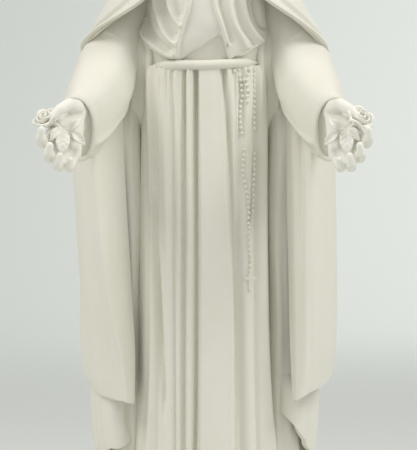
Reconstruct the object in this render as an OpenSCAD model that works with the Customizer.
// Standing madonna statue: a cast figure in a long mantle on a moulded plinth.
// The figure faces -Y and stands along +Z. Left and right are as seen from the front.

/* [Plinth] */
// Height of the plinth, felt included
plinth_h = 40; // [34:1:60]
// Radius of the plinth's round ends at the foot
plinth_r = 80; // [76:1:95]
// Straight length between the plinth's round ends
plinth_straight = 50; // [40:1:80]
// Wall thickness of the hollow plinth
plinth_wall = 10; // [8:0.5:14]
// Thickness of the felt under the plinth
felt_t = 1.5; // [1:0.5:3]
// Thickness of the board that closes the plinth
cover_t = 4; // [3:0.5:6]

/* [Figure] */
// Height of the figure from hem to the top of the veil
figure_h = 560; // [540:1:580]
// Thickness of the cast garment walls
cloth_t = 5; // [4:0.5:6]
// Height of the belt above the plinth
belt_up = 348; // [344:1:352]
// Half width of the tunic below the belt
tunic_w = 50; // [47:0.5:52]
// Half depth of the tunic below the belt
tunic_d = 40; // [37:0.5:43]
// Number of folds around the tunic
fold_count = 15; // [9:1:21]
// Depth of the tunic's folds at the hem
fold_depth = 2.4; // [1:0.1:3]

/* [Mantle] */
// Half width of the front panels of the mantle
mantle_w = 104; // [100:0.5:108]
// Half width of the back of the mantle
back_w = 90; // [88:0.5:92]
// Height of the front panels' hem above the plinth
hem_up = 82; // [74:1:90]

/* [Arms] */
// Distance of each hand from the middle of the figure
hand_x = 112; // [110:0.5:116]
// Distance of each palm in front of the figure's axis
hand_y = 98; // [94:0.5:104]
// Height of each palm above the plinth
hand_up = 288; // [285:0.5:292]
// Radius of each rose
rose_r = 9; // [8:0.5:10]

/* [Rosary] */
// Diameter of one bead
bead_d = 3; // [2.4:0.1:3.6]
// Distance between beads along a strand
bead_step = 5.6; // [5:0.1:7]

/* [Dowels] */
// Diameter of the steel dowels that locate the castings
dowel_d = 6; // [5:0.5:8]

/* [Hidden] */

ivory = [0.90, 0.88, 0.80];
shade = [0.82, 0.80, 0.71];
steel = [0.60, 0.61, 0.63];
felt_green = [0.18, 0.30, 0.22];
board = [0.62, 0.48, 0.33];

plinth_top = plinth_h;
top_z = plinth_top + figure_h;
belt_z = plinth_top + belt_up;
fit_gap = 0.3;

// ---------- shared helpers ----------

function mix(a, b, t) = a + (b - a) * t;
function ease(t) = let (c = min(1, max(0, t))) c * c * (3 - 2 * c);
function flat(grid) = [for (row = grid) for (p = row) p];
function steps(lo, hi, count) = [for (i = [0 : count]) mix(lo, hi, i / count)];

// A height given above the plinth becomes a height above the ground.
function up(z) = plinth_top + z;

// Value of a [height above the plinth, size] table at a height above the ground.
function size_at(table, z) = lookup(z - plinth_top, table);

// Smooth curve through four points, between the second and the third.
function spline(a, b, c, d, t) =
  0.5 * (2 * b + (c - a) * t + (2 * a - 5 * b + 4 * c - d) * t * t
    + (3 * b - a - 3 * c + d) * t * t * t);

// Smooth curve through a whole list of points, u from 0 to 1.
function curve(points, u) =
  let (
    last = len(points) - 1,
    i = min(last - 1, floor(u * last)),
    t = u * last - i,
    before = points[max(0, i - 1)],
    after = points[min(last, i + 2)]
  )
  spline(before, points[i], points[i + 1], after, t);

// Faces between two rows of a grid, seen from outside the solid.
function outside(a, b, c, d) = [[a, d, c], [a, c, b]];
function inside(a, b, c, d) = [[a, b, c], [a, c, d]];

// A wall with an outer and an inner grid of points, rows upward, columns anticlockwise
// from above. A closed wall joins its last column to its first. With peaks, the top is
// drawn together into one point on each side of the wall.
module wall(outer, inner, closed = false, peaks = []) {
  rows = len(outer);
  cols = len(outer[0]);
  n = rows * cols;
  across = closed ? cols - 1 : cols - 2;
  function o(i, j) = i * cols + (j % cols);
  function q(i, j) = n + i * cols + (j % cols);
  r = rows - 1;
  peak_o = 2 * n;
  peak_q = 2 * n + 1;
  skin = [for (i = [0 : rows - 2]) for (j = [0 : across]) each concat(
    outside(o(i, j), o(i, j + 1), o(i + 1, j + 1), o(i + 1, j)),
    inside(q(i, j), q(i, j + 1), q(i + 1, j + 1), q(i + 1, j))
  )];
  hem = [for (j = [0 : across]) each inside(o(0, j), o(0, j + 1), q(0, j + 1), q(0, j))];
  rim = len(peaks) > 0
    ? [for (j = [0 : across]) each [
        [o(r, j + 1), o(r, j), peak_o],
        [q(r, j), q(r, j + 1), peak_q]
      ]]
    : [for (j = [0 : across]) each inside(o(r, j + 1), o(r, j), q(r, j), q(r, j + 1))];
  edges = closed ? [] : [for (i = [0 : rows - 2]) each concat(
    inside(o(i + 1, 0), o(i, 0), q(i, 0), q(i + 1, 0)),
    inside(o(i, cols - 1), o(i + 1, cols - 1), q(i + 1, cols - 1), q(i, cols - 1))
  )];
  slit = (closed || len(peaks) == 0) ? [] : concat(
    inside(peak_o, o(r, 0), q(r, 0), peak_q),
    inside(o(r, cols - 1), peak_o, peak_q, q(r, cols - 1))
  );
  polyhedron(concat(flat(outer), flat(inner), peaks), concat(skin, hem, rim, edges, slit));
}

// A closed solid through rings of points, rows upward, points anticlockwise from above.
module loft(rings) {
  rows = len(rings);
  cols = len(rings[0]);
  n = rows * cols;
  function o(i, j) = i * cols + (j % cols);
  function middle(ring) = [for (k = [0 : 2]) ([for (p = ring) 1] * [for (p = ring) p[k]]) / cols];
  skin = [for (i = [0 : rows - 2]) for (j = [0 : cols - 1]) each
    outside(o(i, j), o(i, j + 1), o(i + 1, j + 1), o(i + 1, j))];
  foot = [for (j = [0 : cols - 1]) [o(0, j), o(0, j + 1), n]];
  crown = [for (j = [0 : cols - 1]) [o(rows - 1, j + 1), o(rows - 1, j), n + 1]];
  polyhedron(
    concat(flat(rings), [middle(rings[0]), middle(rings[rows - 1])]),
    concat(skin, foot, crown)
  );
}

// The same plan outline moved inward by a thickness, for open rows of a grid.
function inset_row(row, t) = [for (i = [0 : len(row) - 1]) let (
    d = row[min(len(row) - 1, i + 1)] - row[max(0, i - 1)],
    l = norm([d[0], d[1]])
  )
  [row[i][0] - t * d[1] / l, row[i][1] + t * d[0] / l, row[i][2]]];

// ---------- plinth ----------

// Moulded outline of the plinth: distance out from the foot line, height.
plinth_outline = [
  [-plinth_wall, felt_t], [0, felt_t], [0, 12], [-2, 14],
  for (a = [0 : 15 : 90]) [-2 - 8 * sin(a), 14 + 14 * (1 - cos(a)) ],
  [-10, plinth_top - 9],
  for (a = [0 : 30 : 180]) [-10 + 3 * sin(a), plinth_top - 4.5 - 4.5 * cos(a)],
  [-plinth_wall - 12, plinth_top], [-plinth_wall - 12, plinth_top - 8],
  [-plinth_wall - 6, plinth_top - 8], [-plinth_wall - 1, plinth_top - 14]
];

// Two round ends joined by a straight run.
module stadium(radius, height) {
  for (s = [-1, 1]) translate([s * plinth_straight / 2, 0, 0])
    cylinder(r = radius, h = height, $fn = 96);
  translate([-plinth_straight / 2, -radius, 0]) cube([plinth_straight, 2 * radius, height]);
}

screw_at = [for (sx = [-1, 1]) for (sy = [-1, 1]) [sx * 66, sy * 40]];
dowel_at = [for (s = [-1, 1]) [s * 26, 4]];

module plinth_body() {
  for (s = [0, 180]) rotate(s) translate([plinth_straight / 2, 0, 0]) rotate(-90)
    rotate_extrude(angle = 180, $fn = 96)
      polygon([for (p = plinth_outline) [plinth_r + p[0], p[1]]]);
  for (s = [0, 180]) rotate(s) translate([plinth_straight / 2, 0, 0]) rotate([90, 0, -90])
    linear_extrude(plinth_straight)
      polygon([for (p = plinth_outline) [plinth_r + p[0], p[1]]]);
}

module plinth() {
  color(ivory) difference() {
    union() {
      plinth_body();
      translate([0, 0, plinth_top - 8]) stadium(plinth_r - plinth_wall - 11, 8);
      for (p = screw_at) translate([p[0], p[1], felt_t + cover_t])
        cylinder(r = 6, h = plinth_top - felt_t - cover_t - 4, $fn = 32);
    }
    for (p = screw_at) translate([p[0], p[1], 0]) cylinder(r = 1.5, h = 20, $fn = 24);
    for (p = dowel_at) translate([p[0], p[1], plinth_top - 9])
      cylinder(d = dowel_d, h = 10, $fn = 32);
  }
}

module plinth_cover() {
  color(board) difference() {
    translate([0, 0, felt_t]) stadium(plinth_r - plinth_wall - fit_gap, cover_t);
    for (p = screw_at) translate([p[0], p[1], felt_t - 1]) {
      cylinder(r = 1.7, h = cover_t + 2, $fn = 24);
      cylinder(r = 3.3, h = 3, $fn = 24);
    }
  }
}

module cover_screws() {
  color(steel) for (p = screw_at) translate([p[0], p[1], felt_t]) {
    difference() {
      cylinder(r = 3.1, h = 1.9, $fn = 24);
      translate([-2.2, -0.4, -1]) cube([4.4, 0.8, 2]);
    }
    translate([0, 0, 1.5]) cylinder(r = 1.45, h = 15, $fn = 24);
  }
}

module felt_pad() {
  color(felt_green) stadium(plinth_r - 1, felt_t);
}

// ---------- tunic, sash, belt and bodice ----------

tunic_half_w = [[0, tunic_w + 9], [40, tunic_w + 6], [160, tunic_w + 3],
  [260, tunic_w + 2], [320, tunic_w], [belt_up, tunic_w - 5]];
tunic_half_d = [[0, tunic_d + 12], [40, tunic_d + 8], [160, tunic_d + 4],
  [260, tunic_d + 1], [320, tunic_d - 2], [belt_up, tunic_d - 5]];

function tunic_point(a, z, t) =
  let (
    f = fold_depth * ease((belt_z - z) / 120) * cos(fold_count * a),
    w = size_at(tunic_half_w, z) + f - t,
    d = size_at(tunic_half_d, z) + f - t
  )
  [w * cos(a), d * sin(a), z];

// Place on the front of the tunic, a distance x from the middle.
function tunic_front(x, z, out) =
  let (a = -acos(max(-1, min(1, x / (size_at(tunic_half_w, z) + 1)))))
  [x, (size_at(tunic_half_d, z) + fold_depth + out) * sin(a), z];

module tunic() {
  function grid(t) = [for (z = steps(plinth_top + fit_gap, belt_z - 4, 9))
    [for (j = [0 : 71]) tunic_point(j * 5, z, t)]];
  color(ivory) wall(grid(0), grid(cloth_t), closed = true);
}

// Oval floor cast into the foot of the tunic, which takes the two dowels.
module foot_plate() {
  color(shade) translate([0, 0, plinth_top + fit_gap]) difference() {
    linear_extrude(10)
      polygon([for (a = [0 : 10 : 350]) [(tunic_w + 1) * cos(a), (tunic_d + 2) * sin(a)]]);
    for (p = dowel_at) translate([p[0], p[1], -1]) cylinder(d = dowel_d, h = 12, $fn = 32);
  }
}

module plinth_dowels() {
  color(steel) for (p = dowel_at) translate([p[0], p[1], plinth_top - 8])
    cylinder(d = dowel_d - 0.1, h = 17, $fn = 32);
}

sash_left = [[12, -3], [190, -3], [belt_up, -5]];
sash_right = [[12, 22], [190, 22], [belt_up, 11]];

module sash() {
  function grid(out) = [for (z = steps(plinth_top + 14, belt_z - 5, 12))
    [for (j = [0 : 6]) tunic_front(
      mix(size_at(sash_left, z), size_at(sash_right, z), j / 6), z, out)]];
  color(ivory) wall(grid(1.6), grid(0));
}

// Rolled cord that lies around the waist.
module belt() {
  r = 3.6;
  function ring(a) = [for (b = [0 : 45 : 315])
    [(tunic_w - 4 + r * cos(b)) * cos(a), (tunic_d - 3.5 + r * cos(b)) * sin(a),
      belt_z + r * sin(b)]];
  cols = 8;
  rows = 60;
  rings = [for (i = [0 : rows - 1]) ring(i * 360 / rows)];
  function o(i, j) = (i % rows) * cols + (j % cols);
  color(ivory) polyhedron(flat(rings), [for (i = [0 : rows - 1]) for (j = [0 : cols - 1]) each
    outside(o(i, j), o(i + 1, j), o(i + 1, j + 1), o(i, j + 1))]);
}

bodice_half_w = [[belt_up + 3, 43], [belt_up + 12, 47], [395, 48], [425, 46],
  [445, 38], [458, 26], [466, 19]];
bodice_half_d = [[belt_up + 3, 34], [belt_up + 12, 40], [390, 42], [420, 38],
  [445, 30], [458, 23], [466, 18]];

module bodice() {
  color(ivory) loft([for (z = steps(belt_z + 3.9, up(466), 12)) [for (a = [0 : 9 : 351])
    [size_at(bodice_half_w, z) * cos(a), size_at(bodice_half_d, z) * sin(a), z]]]);
}

// ---------- head, hair and veil ----------

// Neck and head: height above the plinth, half width, half depth, shift along Y.
head_rings = [
  [466.5, 17, 16, 2], [474, 14.5, 14.5, 0], [481, 14.5, 15.5, -1], [484, 15.5, 21, -6],
  [489, 19, 26, -7], [498, 22.5, 29, -6], [510, 24.2, 31.5, -4], [522, 25, 33, -2],
  [534, 23.5, 31.5, -1], [543, 18.5, 25, 0], [549, 11, 15, 1], [552, 4, 5, 1]
];

module head() {
  color(ivory) {
    difference() {
      loft([for (r = head_rings) [for (a = [0 : 12 : 348])
        [r[1] * cos(a), r[3] + r[2] * sin(a), up(r[0])]]]);
      translate([0, 1, up(460)]) cylinder(d = dowel_d, h = 24, $fn = 32);
    }
  }
}

module head_dowel() {
  color(steel) translate([0, 1, up(466.5)]) cylinder(d = dowel_d - 0.1, h = 17, $fn = 32);
}

module hair() {
  half_w = [[486, 24], [500, 27.5], [522, 29.5], [536, 27], [545, 21], [552, 12]];
  half_d = [[486, 30], [500, 34], [522, 36.5], [536, 33.5], [545, 26], [552, 15]];
  open_a = [[486, -20], [510, -34], [530, -52], [542, -76], [552, -88]];
  function row(z, t) = let (a0 = size_at(open_a, z)) [for (a = steps(a0, 180 - a0, 24))
    [(size_at(half_w, z) - t) * cos(a), -1 + (size_at(half_d, z) - t) * sin(a), z]];
  function grid(t) = [for (z = steps(up(486), up(552), 7)) row(z, t)];
  color(shade) wall(grid(0), grid(3.4), peaks = [[0, 0, up(556)], [0, 0, up(553)]]);
}

veil_half_w = [[434, 61], [450, 51], [465, 43], [480, 38.5], [505, 36.5], [525, 35],
  [540, 29.5], [550, 21], [557, 10]];
veil_half_d = [[434, 51], [450, 46], [465, 43], [480, 41], [505, 41.5], [525, 40],
  [540, 33.5], [550, 24], [557, 11]];
veil_open = [[434, -54], [465, -46], [485, -40], [505, -42], [520, -50], [532, -64],
  [540, -80], [546, -89.2], [557, -89.2]];

module veil() {
  levels = [434, 450, 465, 480, 495, 508, 520, 532, 540, 546, 552, 557];
  function row(z, t) = let (a0 = size_at(veil_open, z)) [for (a = steps(a0, 180 - a0, 36))
    [(size_at(veil_half_w, z) - t) * cos(a), (size_at(veil_half_d, z) - t) * sin(a), z]];
  function grid(t) = [for (h = levels) row(up(h), t)];
  color(ivory) wall(grid(0), grid(3.6),
    peaks = [[0, 0, top_z], [0, 0, top_z - 3.2]]);
}

// ---------- mantle ----------

cape_half_w = [[358, 99], [370, 94], [384, 87], [400, 77], [416, 68], [430, 59],
  [444, 48], [454, 39]];
cape_half_d = [[358, 58], [400, 52], [430, 43], [444, 36], [454, 29]];
cape_open = [[358, -4], [364, -8], [384, -38], [400, -54.6], [430, -54], [454, -54]];

// Part of the mantle that lies over the shoulders and upper arms.
module mantle_cape() {
  function row(z, t) = let (a0 = size_at(cape_open, z)) [for (a = steps(a0, 180 - a0, 40))
    [(size_at(cape_half_w, z) - t) * cos(a), 4 + (size_at(cape_half_d, z) - t) * sin(a), z]];
  function grid(t) = [for (z = steps(up(358), up(454), 10)) row(z, t)];
  color(ivory) wall(grid(0), grid(cloth_t));
}

back_half_w = [[2, back_w - 8], [42, back_w - 4], [80, back_w - 2], [160, back_w],
  [340, back_w], [357, back_w - 3]];
back_half_d = [[2, 62], [80, 56], [200, 52], [340, 53], [357, 54]];

// Part of the mantle that falls behind the tunic, with a hem that drops to the back.
module mantle_back() {
  a0 = -14;
  function hem(a) = let (side = abs(cos(a))) up(mix(2, 48, ease((side - 0.75) / 0.25)));
  function point(a, u, t) =
    let (
      z = mix(hem(a), up(357.5), u),
      f = 2.5 * ease((up(330) - z) / 200) * cos(13 * a)
    )
    [(size_at(back_half_w, z) + f - t) * cos(a), 4 + (size_at(back_half_d, z) + f - t) * sin(a), z];
  function grid(t) = [for (u = steps(0, 1, 10)) [for (a = steps(a0, 180 - a0, 52)) point(a, u, t)]];
  color(ivory) wall(grid(0), grid(cloth_t));
}

panel_w = [[hem_up, mantle_w - 11], [hem_up + 14, mantle_w - 6], [hem_up + 30, mantle_w - 3],
  [hem_up + 60, mantle_w - 1], [327, mantle_w], [340, mantle_w - 6], [357, mantle_w - 11]];
ridge_x = [[hem_up, 62], [132, 68], [192, 76], [266, 86], [357, 91]];
ridge_y = [[hem_up, -34], [260, -36], [320, -18], [357, -2]];
return_x = [[hem_up, 60], [172, 62], [272, 66], [357, 84]];
return_y = [[hem_up, -22], [260, -10], [320, 0], [357, 8]];

// Front panel of the mantle on one side: it wraps from the back round the side to a
// rounded ridge in front, and turns in towards the tunic.
module mantle_front() {
  function outline(z) = [
    [size_at(return_x, z), size_at(return_y, z), z],
    [size_at(ridge_x, z), size_at(ridge_y, z), z],
    [mix(size_at(ridge_x, z), size_at(panel_w, z), 0.7), mix(size_at(ridge_y, z), 0, 0.45), z],
    [size_at(panel_w, z), 8, z],
    [back_w + 4, 34, z],
    [back_w - 24, 52.5, z]
  ];
  function row(z) = [for (u = steps(0, 1, 13)) curve(outline(z), u)];
  rows = [for (z = steps(up(hem_up), up(357.5), 7)) row(z)];
  color(ivory) wall(rows, [for (r = rows) inset_row(r, cloth_t)]);
}

module mantle_left_front() {
  mirror([1, 0, 0]) mantle_front();
}

module mantle_right_front() {
  mantle_front();
}

// ---------- arms ----------

palm = [hand_x, -hand_y, up(hand_up)];

// Middle line of a sleeve from its mouth to the shoulder, and its half sizes.
sleeve_line = [
  [palm[0] - 10, palm[1] + 16, palm[2] + 4], [96, -60, up(302)], [86, -30, up(322)],
  [76, -6, up(350)], [60, 3, up(388)], [44, 4, up(424)]
];
sleeve_w = [[0, 14.5], [0.2, 20], [0.4, 24], [0.6, 22], [0.8, 16], [1, 12]];
sleeve_h = [[0, 30], [0.2, 34], [0.4, 34], [0.6, 28], [0.8, 19], [1, 14]];

// One ring of a sleeve: it faces along the sleeve's line in plan and tips with the arm.
function sleeve_ring(u, t) =
  let (
    c = curve(sleeve_line, u),
    d = curve(sleeve_line, min(1, u + 0.02)) - curve(sleeve_line, max(0, u - 0.02)),
    plan = norm([d[0], d[1]]),
    side = [-d[1], d[0], 0] / plan,
    tip = ease((u - 0.35) / 0.4),
    fall = cross(side, d / norm(d)),
    drop = mix([0, 0, -1], fall, tip)
  )
  [for (a = [0 : 15 : 345])
    c - (lookup(u, sleeve_w) - t) * cos(a) * side + (lookup(u, sleeve_h) - t) * sin(a) * drop];

module sleeve() {
  function grid(t) = [for (u = steps(0, 1, 10)) sleeve_ring(u, t)];
  color(ivory) wall(grid(0), grid(3.5), closed = true);
}

module left_sleeve() {
  mirror([1, 0, 0]) sleeve();
}

module right_sleeve() {
  sleeve();
}

// A round-ended bar between two points.
module bar(a, b, ra, rb) {
  hull() {
    translate(a) sphere(ra, $fn = 14);
    translate(b) sphere(rb, $fn = 14);
  }
}

wrist = palm + [-8, 14, 18];
finger_r = 3.3;

// Open hand with its fingers bent upward round the rose's stem.
module hand() {
  across = [6.2, 0.6, 1.6];
  color(ivory) {
    bar(wrist + [-4, 18, 4], wrist, 9, 8);
    hull() {
      translate(wrist) sphere(7.6, $fn = 14);
      translate(palm + [-8, -2, -10]) sphere(5, $fn = 14);
      translate(palm + [8, -2, -5]) sphere(5, $fn = 14);
    }
    for (i = [-1.5 : 1 : 1.5]) {
      knuckle = palm + i * across + [-1, -3, -11];
      middle = knuckle + [0, -9, -6];
      bar(knuckle, middle, finger_r + 0.4, finger_r);
      bar(middle, middle + [0, -7, 4], finger_r, finger_r - 0.6);
    }
    bar(wrist + [2, -4, 2], palm + [4, -8, 18], 5, 3.8);
    bar(palm + [4, -8, 18], palm + [9, -12, 12], 3.8, 3.2);
  }
}

module left_hand() {
  mirror([1, 0, 0]) hand();
}

module right_hand() {
  hand();
}

// Steel pin that holds the wrist inside the sleeve.
module hand_dowel() {
  color(steel) translate(wrist + [-4, 28, 6]) rotate([-98, 0, 8])
    cylinder(d = dowel_d - 1, h = 34, $fn = 24);
}

module left_hand_dowel() {
  mirror([1, 0, 0]) hand_dowel();
}

module right_hand_dowel() {
  hand_dowel();
}

// ---------- roses ----------

rose_at = palm + [10, -6, 12];

module at_rose() {
  translate(rose_at) rotate([35, 35, 0]) children();
}

// Cupped bloom with a rolled rim and a bud inside.
module rose_bloom() {
  cup = [
    [0, -6], [4, -6], for (a = [-60 : 20 : 60]) [rose_r - 3 + 3 * cos(a), 3 * sin(a) + 1],
    [rose_r - 2.5, 4.8], [rose_r - 4, 2], [rose_r - 5, -1.5], [3.2, -1.5],
    [3.4, 1.5], [2.2, 4], [0, 4.6]
  ];
  color(ivory) at_rose() rotate_extrude($fn = 48) polygon(cup);
}

module left_rose_bloom() {
  mirror([1, 0, 0]) rose_bloom();
}

module right_rose_bloom() {
  rose_bloom();
}

// Stem that lies across the palm, with two leaves.
module rose_stem() {
  stem_end = palm + [-12, -6, -2];
  start = rose_at + [-3.6, 1, -5];
  color(ivory) {
    bar(start, stem_end, 1.8, 1.6);
    for (s = [[-3, -2, 5, -50], [-1, -2, -4, 20]]) translate(stem_end + [s[0], s[1], s[2]])
      rotate([70, s[3], 0]) linear_extrude(1.6) polygon([for (a = [0 : 20 : 340])
        [7 * cos(a), 3.4 * sin(a) * (1 - 0.35 * cos(a))]]);
  }
}

module left_rose_stem() {
  mirror([1, 0, 0]) rose_stem();
}

module right_rose_stem() {
  rose_stem();
}

// ---------- rosary ----------

// Beads from one height down to another, with x sliding between two values.
module strand(x_top, x_bottom, z_top, z_bottom) {
  count = floor((z_top - z_bottom) / bead_step);
  for (i = [0 : count]) translate(tunic_front(
    mix(x_top, x_bottom, i / count), mix(z_top, z_bottom, i / count), bead_d / 2))
    sphere(d = bead_d, $fn = 24);
}

module rosary_inner_strand() {
  color(ivory) {
    strand(26, 28, belt_z - 6, up(292));
    strand(29, 34, up(276), up(222));
  }
}

module rosary_outer_strand() {
  color(ivory) {
    strand(36, 37.5, belt_z - 6, up(294));
    strand(38, 37, up(274), up(222));
  }
}

module rosary_drop() {
  color(ivory) strand(36, 36, up(216), up(186));
}

// Plain cross at the end of the rosary.
module rosary_cross() {
  color(ivory) translate(tunic_front(36, up(176), 0.4)) rotate([0, 0, 38]) {
    translate([-1.1, 0, -8]) cube([2.2, 2, 15]);
    translate([-4, 0, 0]) cube([8, 2, 2.2]);
  }
}

plinth();
plinth_cover();
cover_screws();
felt_pad();
foot_plate();
plinth_dowels();
tunic();
sash();
belt();
bodice();
head();
head_dowel();
hair();
veil();
mantle_cape();
mantle_back();
mantle_left_front();
mantle_right_front();
left_sleeve();
right_sleeve();
left_hand();
right_hand();
left_hand_dowel();
right_hand_dowel();
left_rose_bloom();
right_rose_bloom();
left_rose_stem();
right_rose_stem();
rosary_inner_strand();
rosary_outer_strand();
rosary_drop();
rosary_cross();
